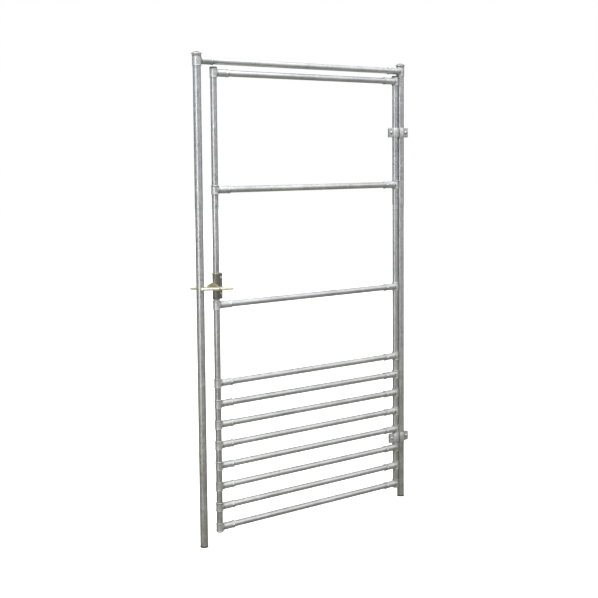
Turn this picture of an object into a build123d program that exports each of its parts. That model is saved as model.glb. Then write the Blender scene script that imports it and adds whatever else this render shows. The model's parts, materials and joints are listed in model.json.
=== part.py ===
"""Livestock panel gate: a tube-framed walk-through gate, hung in its own goalpost frame.

Frame of reference, in millimetres: the origin is the centre of the hinge post's foot, +Z is up, +X runs
along the gate from the latch side to the hinge side, and the gate's front faces -Y. The latch post
stands at X = -post_spacing.
"""
import os
from collections import namedtuple
from math import cos, radians, sin, tan

from build123d import *

# ---------------------------------------------------------------- driving dimensions
# goalpost frame
frame_height = 2100.0        # floor to the crown of the post caps
post_spacing = 1250.0        # between the two post axes
post_od = 33.7
post_wall = 2.6

# door leaf, and the frame's top rail, which is the same tube
door_tube_od = 26.9
door_tube_wall = 2.3
hinge_gap = 2.95             # hinge post to the nearest bead of the door's tees
latch_offset = 88.9          # latch post axis to latch stile axis
door_head_gap = 1.0          # stile plugs to the frame's tee above them
low_rail_z = 70.0            # axis of the lowest rail
low_rail_pitch = 90.0
low_rail_count = 8
high_rail_pitch = 489.0      # counted down from the door's top rail
high_rail_count = 3

# tee fittings: a sleeve on the upright, and a socket branch on the rail
tee_wall = 2.0
tee_fit = 0.15               # radial slack between a tee and its tubes
tee_bead_r = 1.5             # rolled bead at each mouth
tee_bead_rise = 1.1          # how far a bead stands proud
tee_bead_inset = 0.2         # bead to the mouth's edge
frame_sleeve_h = 44.0
frame_branch_reach = 84.0    # upright axis to the branch's mouth
door_sleeve_h = 38.0
door_branch_reach = 78.0
rail_end_gap = 2.0           # rail's end to the upright, inside the tee

# tee screws, one on the front of each branch
screw_r = 2.4
screw_head_r = 4.6
screw_head_h = 3.0
screw_from_mouth = 9.4
screw_bite = 4.0             # how far the screw reaches past the rail's wall
screw_slack = 0.2

# caps and plugs
cap_h = 11.5
cap_gap = 3.0                # post's end above the tee's sleeve
cap_brim = 1.5               # cap's rim past the sleeve's bead
cap_rim_h = 5.0
cap_skin = 2.2
cap_spigot_depth = 26.0
plug_fit = 0.1
plug_skin = 2.0
foot_plug_brim = 0.75        # plug's flange past the post
foot_plug_h = 6.0
foot_plug_depth = 26.0
foot_plug_round = 1.2
stile_plug_brim = 2.05
stile_plug_h = 6.0
stile_plug_depth = 24.0
stile_plug_round = 2.5
sole_plug_h = 2.5
sole_plug_round = 1.0

# round-headed bolts and hexagon nuts
Fastener = namedtuple("Fastener", "shank_r head_r head_h nut_flats nut_h")
clamp_bolt = Fastener(shank_r=4.0, head_r=8.6, head_h=4.6, nut_flats=13.0, nut_h=6.5)
strap_bolt = Fastener(shank_r=3.0, head_r=5.8, head_h=3.6, nut_flats=10.0, nut_h=5.0)
bolt_hole_slack = 0.3
bolt_tail = 4.0              # thread past the nut
bolt_point = 0.8             # chamfer on the thread's end
nut_thread_fit = 0.05

# hinge clamps: two pressed plates, bolted through an ear at each end
clamp_plate = 3.0
clamp_h = 45.0
clamp_ear_gap = 5.0          # between the two plates' ears
clamp_ear_edge = 14.5        # bolt to the ear's edge
clamp_ear_corner = 4.0
clamp_bolt_room = 6.0        # bolt's head to the loop beside it
clamp_valley = 6.5           # Y = 0 to the inside of the valley between the two loops
clamp_blend = 2.0            # bend radius where an ear or the valley meets a loop
stile_running_fit = 0.08
post_grip_fit = 0.03
upper_clamp_drop = 242.0     # door's top rail to the upper clamp's middle
lower_clamp_tee = 3          # number, from 0, of the low rail whose tee rests over the lower clamp
lower_clamp_seat = 1.0       # top of the lower clamp to that tee

# latch: a tall strap clamp with a guide plate, and a U-shaped bar that slides through the plate
strap_plate = 3.0
strap_h = 112.0
strap_foot_gap = 7.0         # strap's foot above the tee below it
strap_fit = 0.03
strap_ear_gap = 2.4
strap_ear_blend = 0.7        # bend radius where the ears meet the strap
strap_ear_edge = 7.3         # bolt to the ears' edge
strap_ear_corner = 4.0
strap_bolt_room = 0.9        # bolt's head to the strap
strap_bolt_inset = 22.0      # strap's end to the bolt
strap_rim_h = 5.0
strap_rim_rise = 1.4
guide_plate = 4.0
guide_apex_rise = 21.0       # centre of the apex round, above the bar
guide_apex_r = 5.0
guide_lobe = 3.6             # plate left about each of the bar's holes, past the bar
guide_slack = 0.7
guide_hole_r = 2.6
guide_hole_rise = 8.0
bar_r = 6.0
bar_rise = 46.0              # strap's foot to the bar, at the stile's axis
bar_tilt = 2.3               # degrees, prongs up, as the bar tips in its slack holes
prong_gap = 12.65            # latch post to the prong each side of it
prong_overreach = 23.4       # latch post axis to the prongs' tips
handle_room = 31.5           # strap's ears to the start of the closed end's bend
bar_tip_round = 3.0

# ---------------------------------------------------------------- worked-out places
post_r = post_od / 2
door_r = door_tube_od / 2
post_bore_r = post_r - post_wall
door_bore_r = door_r - door_tube_wall
branch_r = door_r + tee_fit + tee_wall
frame_sleeve_r = post_r + tee_fit + tee_wall
hinge_offset = post_r + hinge_gap + branch_r + tee_bead_rise
latch_post_x = -post_spacing
hinge_post_x = 0.0
latch_stile_x = latch_post_x + latch_offset
hinge_stile_x = hinge_post_x - hinge_offset
post_top_z = frame_height - cap_h
top_rail_z = post_top_z - cap_gap - frame_sleeve_h / 2
stile_top_z = top_rail_z - frame_sleeve_h / 2 - door_head_gap - stile_plug_h
stile_foot_z = low_rail_z - door_sleeve_h / 2
door_top_z = stile_top_z - door_sleeve_h / 2
low_rail_zs = [low_rail_z + low_rail_pitch * i for i in range(low_rail_count)]
high_rail_zs = [door_top_z - high_rail_pitch * i for i in reversed(range(high_rail_count))]
rail_zs = low_rail_zs + high_rail_zs
upper_clamp_z = door_top_z - upper_clamp_drop
lower_clamp_z = low_rail_zs[lower_clamp_tee] - door_sleeve_h / 2 - lower_clamp_seat - clamp_h / 2
clamp_stile_bolt = door_r + stile_running_fit + clamp_plate + clamp_bolt.head_r + clamp_bolt_room
clamp_post_bolt = post_r + post_grip_fit + clamp_plate + clamp_bolt.head_r + clamp_bolt_room
strap_bore_r = door_r + strap_fit
strap_r = strap_bore_r + strap_plate
strap_bolt_x = strap_r + strap_bolt.head_r + strap_bolt_room
strap_ear_reach = strap_bolt_x + strap_ear_edge
strap_low_z = high_rail_zs[0] + door_sleeve_h / 2 + strap_foot_gap
guide_x = -(strap_r + guide_plate / 2 - strap_plate / 2)
bar_z = strap_low_z + bar_rise
bar_leg_y = post_r + prong_gap + bar_r
bar_bend_x = strap_ear_reach + handle_room

os.makedirs("parts", exist_ok=True)


def save(part, name):
    part.label = name
    export_step(part, f"parts/{name}.step")


def upright_tube(name, x, z_low, z_high, radius, bore_r):
    with BuildPart() as tube:
        with BuildSketch(Plane.XY.offset(z_low)):
            with Locations((x, 0)):
                Circle(radius)
                Circle(bore_r, mode=Mode.SUBTRACT)
        extrude(amount=z_high - z_low)
    save(tube.part, name)


def rail_tube(name, x_low, x_high, z, screw_xs):
    """A level tube, drilled on its front for the screw near each end."""
    with BuildPart() as tube:
        with BuildSketch(Plane(origin=(x_low, 0, z), z_dir=(1, 0, 0))):
            Circle(door_r)
            Circle(door_bore_r, mode=Mode.SUBTRACT)
        extrude(amount=x_high - x_low)
        with BuildSketch(Plane(origin=(0, 0, z), x_dir=(1, 0, 0), z_dir=(0, -1, 0))):
            with Locations(*[(x, 0) for x in screw_xs]):
                Circle(screw_r)
        extrude(amount=door_tube_od, mode=Mode.SUBTRACT)
    save(tube.part, name)


def tee(name, x, z, inward, upright_r, sleeve_h, reach):
    """A sleeve about the upright at x, and a branch for a rail, towards inward (+1 or -1) along X."""
    sleeve_bore_r = upright_r + tee_fit
    sleeve_r = sleeve_bore_r + tee_wall
    bead_in = tee_bead_r + tee_bead_inset
    sleeve_bead_z = sleeve_h / 2 - bead_in
    sleeve_bead_at = sleeve_r + tee_bead_rise - tee_bead_r
    branch_bead_at = branch_r + tee_bead_rise - tee_bead_r
    section = Plane(origin=(x, 0, z), x_dir=(inward, 0, 0), z_dir=(0, -inward, 0))
    with BuildPart() as fitting:
        with BuildSketch(section):
            with Locations((sleeve_r / 2, 0)):
                Rectangle(sleeve_r, sleeve_h)
            with Locations((sleeve_bead_at, sleeve_bead_z), (sleeve_bead_at, -sleeve_bead_z)):
                Circle(tee_bead_r)
        revolve(axis=Axis((x, 0, z), (0, 0, 1)))
        with BuildSketch(section):
            with Locations((reach / 2, branch_r / 2)):
                Rectangle(reach, branch_r)
            with Locations((reach - bead_in, branch_bead_at)):
                Circle(tee_bead_r)
        revolve(axis=Axis((x, 0, z), (1, 0, 0)))
        with BuildSketch(Plane(origin=(x, 0, z - sleeve_h / 2))):
            Circle(sleeve_bore_r)
        extrude(amount=sleeve_h, mode=Mode.SUBTRACT)
        with BuildSketch(Plane(origin=(x, 0, z), z_dir=(inward, 0, 0))):
            Circle(door_r + tee_fit)
        extrude(amount=reach, mode=Mode.SUBTRACT)
        screw_x = x + inward * (reach - screw_from_mouth)
        with BuildSketch(Plane(origin=(screw_x, 0, z), x_dir=(1, 0, 0), z_dir=(0, -1, 0))):
            Circle(screw_r + screw_slack)
        extrude(amount=branch_r + tee_bead_rise, mode=Mode.SUBTRACT)
    save(fitting.part, name)


def tee_screws(name, places):
    """One domed screw at each (x, z), driven from the front through a tee's branch into the rail."""
    seat = branch_r
    rim = seat + screw_head_h / 3
    crown = seat + screw_head_h
    point = door_bore_r - screw_bite
    with BuildPart() as screw:
        with BuildSketch(Plane(origin=(0, 0, 0), x_dir=(1, 0, 0), z_dir=(0, 0, 1))):
            with BuildLine():
                Polyline((0, -point), (screw_r, -point - screw_r), (screw_r, -seat), (screw_head_r, -seat))
                Line((screw_head_r, -seat), (screw_head_r, -rim))
                TangentArc((0, -crown), (screw_head_r, -rim), tangent=(1, 0))
                Line((0, -crown), (0, -point))
            make_face()
        revolve(axis=Axis.Y)
    with BuildPart() as group:
        with Locations(*[(x, 0, z) for x, z in places]):
            add(screw.part)
    save(group.part, name)


def post_cap(name, x):
    """A pressed dome, wider than the tee's sleeve, on a spigot inside the post."""
    spigot_r = post_bore_r - plug_fit
    cap_r = frame_sleeve_r + tee_bead_rise + cap_brim
    with BuildPart() as cap:
        with BuildSketch(Plane(origin=(x, 0, post_top_z), x_dir=(1, 0, 0), z_dir=(0, -1, 0))):
            with BuildLine():
                Line((0, cap_h - cap_skin), (0, cap_h))
                TangentArc((0, cap_h), (cap_r, cap_rim_h), tangent=(1, 0))
                Polyline((cap_r, cap_rim_h), (cap_r, 0), (spigot_r, 0), (spigot_r, -cap_spigot_depth))
                Line((spigot_r, -cap_spigot_depth), (spigot_r - cap_skin, -cap_spigot_depth))
                Line((spigot_r - cap_skin, -cap_spigot_depth), (spigot_r - cap_skin, cap_rim_h))
                Line((spigot_r - cap_skin, cap_rim_h), (0, cap_h - cap_skin))
            make_face()
        revolve(axis=Axis((x, 0, 0), (0, 0, 1)))
    save(cap.part, name)


def end_plug(name, places, flange_r, flange_h, bore_r, depth, rounding):
    """Moulded plugs at each (x, z, up): the flange meets the tube's end at z, on the side of up."""
    spigot_r = bore_r - plug_fit
    with BuildPart() as plugs:
        for x, z, up in places:
            into_tube = Plane(origin=(x, 0, z), z_dir=(0, 0, -up))
            with BuildSketch(into_tube):
                Circle(spigot_r)
                Circle(spigot_r - plug_skin, mode=Mode.SUBTRACT)
            extrude(amount=depth)
            out_of_tube = Plane(origin=(x, 0, z), z_dir=(0, 0, up))
            with BuildSketch(out_of_tube):
                Circle(flange_r)
            extrude(amount=flange_h)
            rims = plugs.edges().filter_by(GeomType.CIRCLE).filter_by_position(
                Axis.Z, z + up * flange_h - 0.01, z + up * flange_h + 0.01
            )
            fillet(rims.filter_by(lambda rim: abs(rim.arc_center.X - x) < 1), rounding)
    save(plugs.part, name)


def clamp_half(name, z, side):
    """One pressed plate of a hinge clamp, on the side -1 (front) or +1 (back)."""
    ear_face = clamp_ear_gap / 2
    ear_left = hinge_stile_x - clamp_stile_bolt - clamp_ear_edge
    ear_right = hinge_post_x + clamp_post_bolt + clamp_ear_edge
    stile_loop_r = door_r + stile_running_fit
    post_loop_r = post_r + post_grip_fit
    bolt_xs = (hinge_stile_x - clamp_stile_bolt, hinge_post_x + clamp_post_bolt)
    middle_x = (hinge_stile_x + hinge_post_x) / 2
    with BuildPart() as half:
        with BuildSketch(Plane.XY.offset(z - clamp_h / 2)) as outline:
            with Locations(((ear_left + ear_right) / 2, side * (ear_face + clamp_plate / 2))):
                Rectangle(ear_right - ear_left, clamp_plate)
            with Locations((middle_x, side * (clamp_valley + clamp_plate / 2))):
                Rectangle(hinge_offset, clamp_plate)
            with Locations((hinge_stile_x, 0)):
                Circle(stile_loop_r + clamp_plate)
            with Locations((hinge_post_x, 0)):
                Circle(post_loop_r + clamp_plate)
            with Locations(((ear_left + ear_right) / 2, side * (ear_face - post_od))):
                Rectangle(ear_right - ear_left, 2 * post_od, mode=Mode.SUBTRACT)
            with Locations((middle_x, side * clamp_valley / 2)):
                Rectangle(hinge_offset, clamp_valley, mode=Mode.SUBTRACT)
            with Locations((hinge_stile_x, 0)):
                Circle(stile_loop_r, mode=Mode.SUBTRACT)
            with Locations((hinge_post_x, 0)):
                Circle(post_loop_r, mode=Mode.SUBTRACT)
            ear_outside = ear_face + clamp_plate
            valley_outside = clamp_valley + clamp_plate
            bends = outline.vertices().filter_by(
                lambda corner: ear_left + 1 < corner.X < ear_right - 1
                and min(abs(abs(corner.Y) - ear_outside), abs(abs(corner.Y) - valley_outside)) < 0.01
            )
            fillet(bends, clamp_blend)
        extrude(amount=clamp_h)
        ear_corners = half.edges().filter_by(Axis.Y).filter_by(
            lambda edge: edge.center().X < ear_left + 0.01 or edge.center().X > ear_right - 0.01
        )
        fillet(ear_corners, clamp_ear_corner)
        with BuildSketch(Plane(origin=(0, 0, z), x_dir=(1, 0, 0), z_dir=(0, -1, 0))):
            with Locations(*[(x, 0) for x in bolt_xs]):
                Circle(clamp_bolt.shank_r + bolt_hole_slack)
        extrude(amount=post_od, both=True, mode=Mode.SUBTRACT)
    save(half.part, name)


def bolt_group(name, places, half_grip, size):
    """Round-headed bolts at each (x, z), heads in front, through a stack half_grip each side of Y = 0."""
    shank_r = size.shank_r
    tail = half_grip + size.nut_h + bolt_tail
    crown = half_grip + size.head_h
    rim = half_grip + size.head_h / 4
    with BuildPart() as bolt:
        with BuildSketch(Plane.XY):
            with BuildLine():
                Polyline((0, tail), (shank_r - bolt_point, tail), (shank_r, tail - bolt_point))
                Polyline((shank_r, tail - bolt_point), (shank_r, -half_grip), (size.head_r, -half_grip))
                Line((size.head_r, -half_grip), (size.head_r, -rim))
                TangentArc((0, -crown), (size.head_r, -rim), tangent=(1, 0))
                Line((0, -crown), (0, tail))
            make_face()
        revolve(axis=Axis.Y)
    with BuildPart() as group:
        with Locations(*[(x, 0, z) for x, z in places]):
            add(bolt.part)
    save(group.part, name)


def nut_group(name, places, half_grip, size):
    with BuildPart() as group:
        with BuildSketch(Plane(origin=(0, half_grip, 0), x_dir=(-1, 0, 0), z_dir=(0, 1, 0))):
            with Locations(*[(-x, z) for x, z in places]):
                RegularPolygon(size.nut_flats / 2, 6, major_radius=False)
                Circle(size.shank_r + nut_thread_fit, mode=Mode.SUBTRACT)
        extrude(amount=size.nut_h)
    save(group.part, name)


# ---------------------------------------------------------------- goalpost frame
upright_tube("latch_post", latch_post_x, foot_plug_h, post_top_z, post_r, post_bore_r)
upright_tube("hinge_post", hinge_post_x, foot_plug_h, post_top_z, post_r, post_bore_r)

frame_rail_inset = post_r + rail_end_gap
frame_screw_inset = frame_branch_reach - screw_from_mouth
frame_screw_xs = (latch_post_x + frame_screw_inset, hinge_post_x - frame_screw_inset)
rail_tube(
    "frame_top_rail",
    latch_post_x + frame_rail_inset,
    hinge_post_x - frame_rail_inset,
    top_rail_z,
    frame_screw_xs,
)
for side_name, post_x, inward in (("latch", latch_post_x, 1), ("hinge", hinge_post_x, -1)):
    tee(f"frame_tee_{side_name}", post_x, top_rail_z, inward, post_r, frame_sleeve_h, frame_branch_reach)
    post_cap(f"post_cap_{side_name}", post_x)
    end_plug(
        f"foot_plug_{side_name}",
        [(post_x, foot_plug_h, -1)],
        post_r + foot_plug_brim,
        foot_plug_h,
        post_bore_r,
        foot_plug_depth,
        foot_plug_round,
    )
tee_screws("frame_tee_screws", [(x, top_rail_z) for x in frame_screw_xs])

# ---------------------------------------------------------------- hinge clamps, fast on the hinge post
clamp_bolt_places = []
for level, clamp_z in (("lower", lower_clamp_z), ("upper", upper_clamp_z)):
    clamp_half(f"hinge_clamp_{level}_front", clamp_z, -1)
    clamp_half(f"hinge_clamp_{level}_back", clamp_z, 1)
    clamp_bolt_places.append((hinge_stile_x - clamp_stile_bolt, clamp_z))
    clamp_bolt_places.append((hinge_post_x + clamp_post_bolt, clamp_z))
clamp_half_grip = clamp_ear_gap / 2 + clamp_plate
bolt_group("hinge_clamp_bolts", clamp_bolt_places, clamp_half_grip, clamp_bolt)
nut_group("hinge_clamp_nuts", clamp_bolt_places, clamp_half_grip, clamp_bolt)

# ---------------------------------------------------------------- door leaf
upright_tube("latch_stile", latch_stile_x, stile_foot_z, stile_top_z, door_r, door_bore_r)
upright_tube("hinge_stile", hinge_stile_x, stile_foot_z, stile_top_z, door_r, door_bore_r)

door_rail_inset = door_r + rail_end_gap
door_screw_inset = door_branch_reach - screw_from_mouth
door_screw_xs = (latch_stile_x + door_screw_inset, hinge_stile_x - door_screw_inset)
for number, rail_z in enumerate(rail_zs, start=1):
    rail_tube(
        f"door_rail_{number:02d}",
        latch_stile_x + door_rail_inset,
        hinge_stile_x - door_rail_inset,
        rail_z,
        door_screw_xs,
    )
    tee(f"door_tee_latch_{number:02d}", latch_stile_x, rail_z, 1, door_r, door_sleeve_h, door_branch_reach)
    tee(f"door_tee_hinge_{number:02d}", hinge_stile_x, rail_z, -1, door_r, door_sleeve_h, door_branch_reach)
door_screw_places = [(x, rail_z) for x in door_screw_xs for rail_z in rail_zs]
tee_screws("door_tee_screws", door_screw_places)

for side_name, stile_x in (("latch", latch_stile_x), ("hinge", hinge_stile_x)):
    end_plug(
        f"stile_plug_{side_name}",
        [(stile_x, stile_top_z, 1)],
        door_r + stile_plug_brim,
        stile_plug_h,
        door_bore_r,
        stile_plug_depth,
        stile_plug_round,
    )
end_plug(
    "stile_sole_plugs",
    [(latch_stile_x, stile_foot_z, -1), (hinge_stile_x, stile_foot_z, -1)],
    door_r,
    sole_plug_h,
    door_bore_r,
    stile_plug_depth,
    sole_plug_round,
)

# ---------------------------------------------------------------- latch clamp on the latch stile
strap_half_grip = strap_ear_gap / 2 + strap_plate
strap_bolt_places = [
    (latch_stile_x + strap_bolt_x, strap_low_z + strap_bolt_inset),
    (latch_stile_x + strap_bolt_x, strap_low_z + strap_h - strap_bolt_inset),
]
guide_bar_z = bar_z - guide_x * tan(radians(bar_tilt))
with BuildPart() as latch_clamp:
    with BuildSketch(Plane.XY.offset(strap_low_z)) as strap_outline:
        with Locations((latch_stile_x, 0)):
            Circle(strap_r)
        with Locations((latch_stile_x + strap_ear_reach / 2, 0)):
            Rectangle(strap_ear_reach, strap_ear_gap + 2 * strap_plate)
        ear_roots = strap_outline.vertices().filter_by(
            lambda corner: latch_stile_x + 1 < corner.X < latch_stile_x + strap_ear_reach - 1
        )
        fillet(ear_roots, strap_ear_blend)
        with Locations((latch_stile_x + strap_ear_reach / 2, 0)):
            Rectangle(strap_ear_reach, strap_ear_gap, mode=Mode.SUBTRACT)
        with Locations((latch_stile_x, 0)):
            Circle(strap_bore_r, mode=Mode.SUBTRACT)
    extrude(amount=strap_h)
    with BuildSketch(Plane.XY.offset(strap_low_z + strap_h - strap_rim_h)):
        with Locations((latch_stile_x, 0)):
            Circle(strap_r + strap_rim_rise)
            Circle(strap_bore_r, mode=Mode.SUBTRACT)
        with Locations((latch_stile_x + strap_r / 2 + strap_rim_rise, 0)):
            Rectangle(strap_r + 2 * strap_rim_rise, strap_ear_gap, mode=Mode.SUBTRACT)
    extrude(amount=strap_rim_h)
    guide_back = Plane(
        origin=(latch_stile_x + guide_x + guide_plate / 2, 0, guide_bar_z),
        x_dir=(0, -1, 0),
        z_dir=(-1, 0, 0),
    )
    with BuildSketch(guide_back):
        with Locations((-bar_leg_y, 0), (bar_leg_y, 0)):
            Circle(bar_r + guide_lobe)
        with Locations((0, guide_apex_rise)):
            Circle(guide_apex_r)
        make_hull()
        with Locations((-bar_leg_y, 0), (bar_leg_y, 0)):
            Circle(bar_r + guide_slack, mode=Mode.SUBTRACT)
        with Locations((0, guide_hole_rise)):
            Circle(guide_hole_r, mode=Mode.SUBTRACT)
    extrude(amount=guide_plate)
    with BuildSketch(Plane.XY.offset(strap_low_z)):
        with Locations((latch_stile_x, 0)):
            Circle(strap_bore_r)
    extrude(amount=strap_h, mode=Mode.SUBTRACT)
    ear_tips = latch_clamp.edges().filter_by(Axis.Y).filter_by(
        lambda edge: edge.center().X > latch_stile_x + strap_ear_reach - 0.01
    )
    fillet(ear_tips, strap_ear_corner)
    with BuildSketch(Plane(origin=(0, 0, 0), x_dir=(1, 0, 0), z_dir=(0, -1, 0))):
        with Locations(*strap_bolt_places):
            Circle(strap_bolt.shank_r + bolt_hole_slack)
    extrude(amount=strap_r, both=True, mode=Mode.SUBTRACT)
save(latch_clamp.part, "latch_clamp")
bolt_group("latch_clamp_bolts", strap_bolt_places, strap_half_grip, strap_bolt)
nut_group("latch_clamp_nuts", strap_bolt_places, strap_half_grip, strap_bolt)

# ---------------------------------------------------------------- sliding latch bar
bar_plane = Plane(
    origin=(latch_stile_x, 0, bar_z),
    x_dir=(cos(radians(bar_tilt)), 0, -sin(radians(bar_tilt))),
    z_dir=(sin(radians(bar_tilt)), 0, cos(radians(bar_tilt))),
)
bar_tip_x = -(latch_offset + prong_overreach)
with BuildPart() as latch_bar:
    with BuildLine(bar_plane) as bar_path:
        Line((bar_tip_x, -bar_leg_y), (bar_bend_x, -bar_leg_y))
        ThreePointArc((bar_bend_x, -bar_leg_y), (bar_bend_x + bar_leg_y, 0), (bar_bend_x, bar_leg_y))
        Line((bar_bend_x, bar_leg_y), (bar_tip_x, bar_leg_y))
    with BuildSketch(Plane(origin=bar_path.line @ 0, z_dir=bar_path.line % 0)):
        Circle(bar_r)
    sweep()
    tips = latch_bar.edges().filter_by(GeomType.CIRCLE).sort_by(Axis.X)[:2]
    fillet(tips, bar_tip_round)
save(latch_bar.part, "latch_bar")
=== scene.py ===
import json
import math

import bmesh
import bpy
from mathutils import Matrix, Vector


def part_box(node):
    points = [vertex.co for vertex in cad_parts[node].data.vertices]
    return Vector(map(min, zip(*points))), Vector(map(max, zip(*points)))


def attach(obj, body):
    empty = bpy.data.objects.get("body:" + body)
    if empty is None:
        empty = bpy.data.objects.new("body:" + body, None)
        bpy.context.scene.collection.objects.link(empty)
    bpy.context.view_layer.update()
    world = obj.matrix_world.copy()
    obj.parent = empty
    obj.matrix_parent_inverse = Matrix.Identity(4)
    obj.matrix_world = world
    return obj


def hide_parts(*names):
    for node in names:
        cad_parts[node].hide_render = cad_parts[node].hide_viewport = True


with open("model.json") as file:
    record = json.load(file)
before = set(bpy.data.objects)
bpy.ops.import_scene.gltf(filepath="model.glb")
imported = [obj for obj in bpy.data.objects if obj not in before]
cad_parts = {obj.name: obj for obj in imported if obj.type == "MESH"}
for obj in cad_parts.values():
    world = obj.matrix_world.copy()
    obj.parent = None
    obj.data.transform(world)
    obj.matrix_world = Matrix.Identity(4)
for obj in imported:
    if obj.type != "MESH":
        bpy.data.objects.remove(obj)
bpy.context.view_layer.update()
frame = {"nodes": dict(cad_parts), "record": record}
nodes = frame["nodes"]
bodies = frame["record"]["behaviour"]["bodies"]
body_of = {node: body for body, members in bodies.items() for node in members}

MM = 0.001

# ---------------------------------------------------------------- sizes that the frame doesn't give
POST_R = 16.85 * MM
DOOR_R = 13.45 * MM
POST_WALL = 2.6 * MM
DOOR_WALL = 2.3 * MM
TEE_FIT = 0.15 * MM
TEE_WALL = 2.0 * MM
BEAD_RISE = 1.5 * MM
BRANCH_R = DOOR_R + TEE_FIT + TEE_WALL
BAR_R = 6.0 * MM
BAR_LEG_Y = 35.5 * MM
BAR_TILT = math.radians(2.3)     # prongs up
BAR_RISE = 46.0 * MM             # above the strap's foot, at the stile's axis
BAR_BEND_X = 61.98 * MM          # stile axis to where the closed end's bend starts
BAR_TIP_X = -112.3 * MM          # stile axis to the prongs' tips
BAR_TIP_ROUND = 3.0 * MM
CAP_H = 11.5 * MM
CAP_RIM_H = 5.0 * MM
PLUG_FLANGE_H = 6.0 * MM
SOLE_FLANGE_H = 2.5 * MM
SCREW_FROM_MOUTH = 9.4 * MM
TUBE_SIDES = 64
LATHE_STEPS = 48


# ---------------------------------------------------------------- modelling helpers
def deselect():
    if bpy.context.object and bpy.context.object.mode != "OBJECT":
        bpy.ops.object.mode_set(mode="OBJECT")
    bpy.ops.object.select_all(action="DESELECT")


def named(name):
    """Names the object that an add operator has just made, and its mesh."""
    piece = bpy.context.object
    piece.name = name
    piece.data.name = name
    return piece


def edit(piece):
    deselect()
    piece.select_set(True)
    bpy.context.view_layer.objects.active = piece
    bpy.ops.object.mode_set(mode="EDIT")


def leave_edit():
    bpy.ops.object.mode_set(mode="OBJECT")


def pick(piece, kind, test):
    """In edit mode, selects only the verts, edges or faces whose middle passes the test."""
    bpy.ops.mesh.select_mode(type=kind)
    mesh = bmesh.from_edit_mesh(piece.data)
    for vert in mesh.verts:
        vert.select = False
    for edge in mesh.edges:
        edge.select = False
    for face in mesh.faces:
        face.select = False
    if kind == "VERT":
        for vert in mesh.verts:
            vert.select = test(vert.co)
    elif kind == "EDGE":
        for edge in mesh.edges:
            edge.select = test((edge.verts[0].co + edge.verts[1].co) / 2)
    else:
        for face in mesh.faces:
            face.select = test(face.calc_center_median())
    mesh.select_flush_mode()
    bmesh.update_edit_mesh(piece.data)


def tidy_mesh(merge=0.000005):
    """In edit mode, closes seams and poles and turns all faces outwards."""
    bpy.ops.mesh.select_all(action="SELECT")
    bpy.ops.mesh.remove_doubles(threshold=merge)
    bpy.ops.mesh.normals_make_consistent(inside=False)


def apply_modifier(piece, kind, **settings):
    deselect()
    piece.select_set(True)
    bpy.context.view_layer.objects.active = piece
    modifier = piece.modifiers.new(kind.title(), kind)
    for key, value in settings.items():
        setattr(modifier, key, value)
    bpy.ops.object.modifier_apply(modifier=modifier.name)


def smooth(piece, degrees=35):
    deselect()
    piece.select_set(True)
    bpy.context.view_layer.objects.active = piece
    bpy.ops.object.shade_smooth_by_angle(angle=math.radians(degrees))


def lathe(name, outline, base, up=(0, 0, 1), steps=LATHE_STEPS):
    """Turns an outline of (radius, height) points round the axis `up` through `base`."""
    up = Vector(up).normalized()
    side = up.orthogonal().normalized()
    base = Vector(base)
    points = [base + side * radius + up * height for radius, height in outline]
    deselect()
    bpy.ops.mesh.primitive_plane_add(size=1 * MM, location=(0, 0, 0))
    piece = named(name)
    edit(piece)
    bpy.ops.mesh.select_mode(type="VERT")
    bpy.ops.mesh.select_all(action="SELECT")
    bpy.ops.mesh.merge(type="CENTER")
    bpy.ops.transform.translate(value=points[0])
    for before, after in zip(points, points[1:]):
        bpy.ops.mesh.extrude_vertices_move(TRANSFORM_OT_translate={"value": after - before})
    bpy.ops.mesh.select_all(action="SELECT")
    bpy.ops.mesh.spin(steps=steps, angle=2 * math.pi, center=base, axis=up)
    tidy_mesh()
    leave_edit()
    return piece


def arc(centre, radius, start, end, steps):
    """(radius, height) points on a round of an outline, by degrees from the outline's radius axis."""
    points = []
    for step in range(steps + 1):
        turn = math.radians(start + (end - start) * step / steps)
        points.append((centre[0] + radius * math.cos(turn), centre[1] + radius * math.sin(turn)))
    return points


def placed_copy(master, name, matrix):
    copy = master.copy()
    copy.data = master.data.copy()
    copy.name = name
    copy.data.name = name
    bpy.context.collection.objects.link(copy)
    copy.data.transform(matrix)
    return copy


def discard(piece):
    bpy.data.objects.remove(piece)


def joined(pieces, name):
    deselect()
    for piece in pieces:
        piece.select_set(True)
    bpy.context.view_layer.objects.active = pieces[0]
    if len(pieces) > 1:
        bpy.ops.object.join()
    return named(name)


def centre_of(node):
    low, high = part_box(node)
    return [(a + b) / 2 for a, b in zip(low, high)]


def stand_for(piece, node, material):
    """Dresses a finished piece and lets it stand for a CAD node."""
    piece.data.materials.clear()
    piece.data.materials.append(material)
    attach(piece, body_of[node])
    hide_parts(node)


def softened(node, name, width, material, angle=38):
    """A copy of a CAD node with its seams closed and its sharp edges worn round."""
    piece = placed_copy(nodes[node], name, Matrix.Identity(4))
    edit(piece)
    bpy.ops.mesh.select_all(action="SELECT")
    bpy.ops.mesh.customdata_custom_splitnormals_clear()
    bpy.ops.mesh.remove_doubles(threshold=0.00001)
    bpy.ops.mesh.dissolve_limited(angle_limit=math.radians(1.5))
    leave_edit()
    apply_modifier(
        piece, "BEVEL", width=width, segments=2, limit_method="ANGLE", angle_limit=math.radians(angle),
        use_clamp_overlap=True, harden_normals=False,
    )
    smooth(piece, 32)
    stand_for(piece, node, material)
    return piece


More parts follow.
